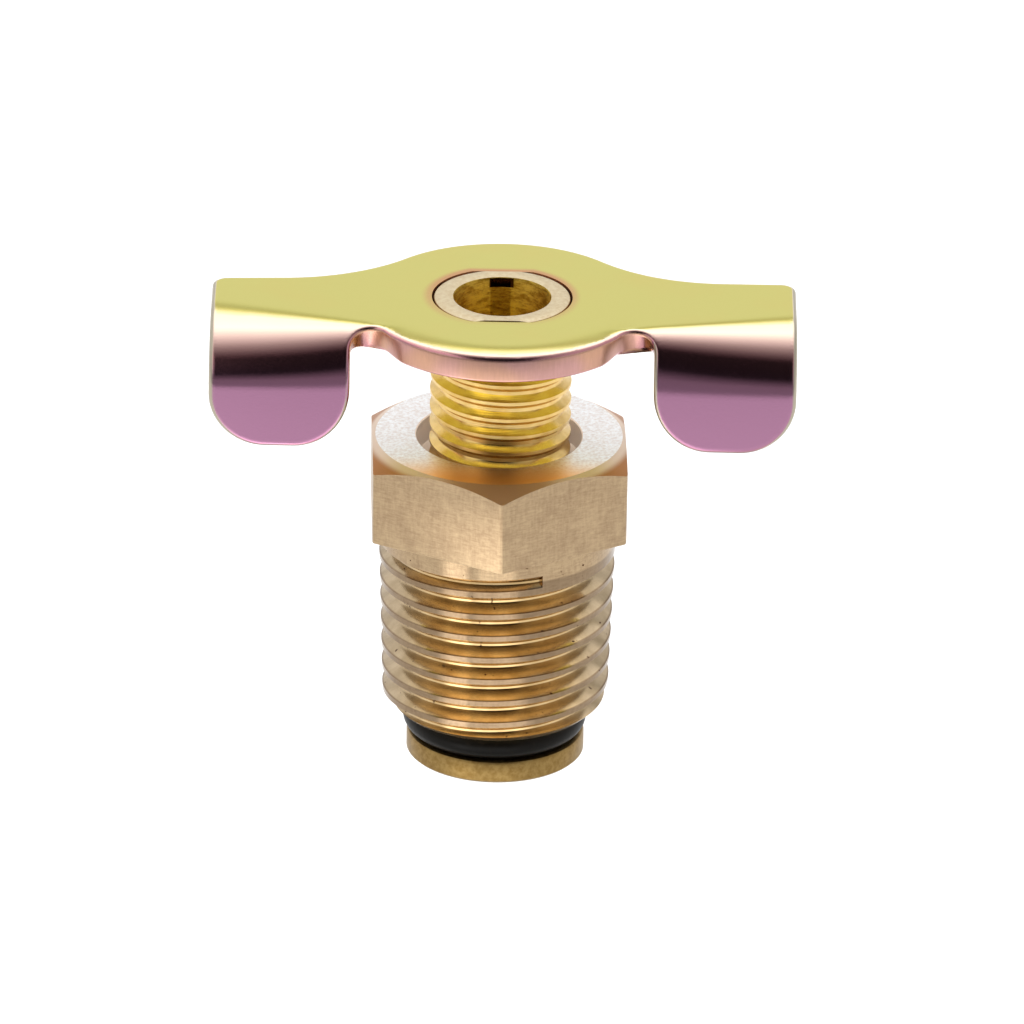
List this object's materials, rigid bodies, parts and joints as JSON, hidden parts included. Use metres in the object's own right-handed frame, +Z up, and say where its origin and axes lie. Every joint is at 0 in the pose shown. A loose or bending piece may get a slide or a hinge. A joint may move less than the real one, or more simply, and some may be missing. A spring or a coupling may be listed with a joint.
{
  "type": "tank drain valve",
  "caption": "Tank drain valve: a wing handle turns a hollow stem down through a threaded hexagon body, lifting a seal ring off its seat so that water drains out at the top.",
  "frame": {"origin": "centre of the underside of the stem's foot, on the surface that the closed valve stands on", "axes": "+Z up along the stem, +X along the handle to one wing tip, wings folded down at -Y, a corner of the hexagon 1.7 degrees from -Y"},
  "size_m": [0.032, 0.0162, 0.0275],
  "materials": {
    "body_brass": "turned and milled bare brass, tan, finely tooled",
    "stem_brass": "bright turned brass, yellow",
    "ring_rubber": "matte black nitrile rubber",
    "plated_steel": "zinc plating, yellow passivated with an iridescent film"
  },
  "bodies": {
    "body": {"valve_body": "body_brass"},
    "seal": {"seal_ring": "ring_rubber"},
    "spindle": {"valve_stem": "stem_brass", "wing_handle": "plated_steel"}
  },
  "joints": [
    {"name": "stem_travel", "type": "slide", "parent": "body", "child": "seal", "axis": [0, 0, 1], "range_m": [-0.006, 0]},
    {"name": "stem_turn", "type": "hinge", "parent": "seal", "child": "spindle", "pos_m": [0, 0, 0], "axis": [0, 0, 1], "range_deg": [0, 2160]}
  ],
  "couplings": [
    {"joint": "stem_travel", "follows": "stem_turn", "m_per_rad": -0.00015915}
  ]
}
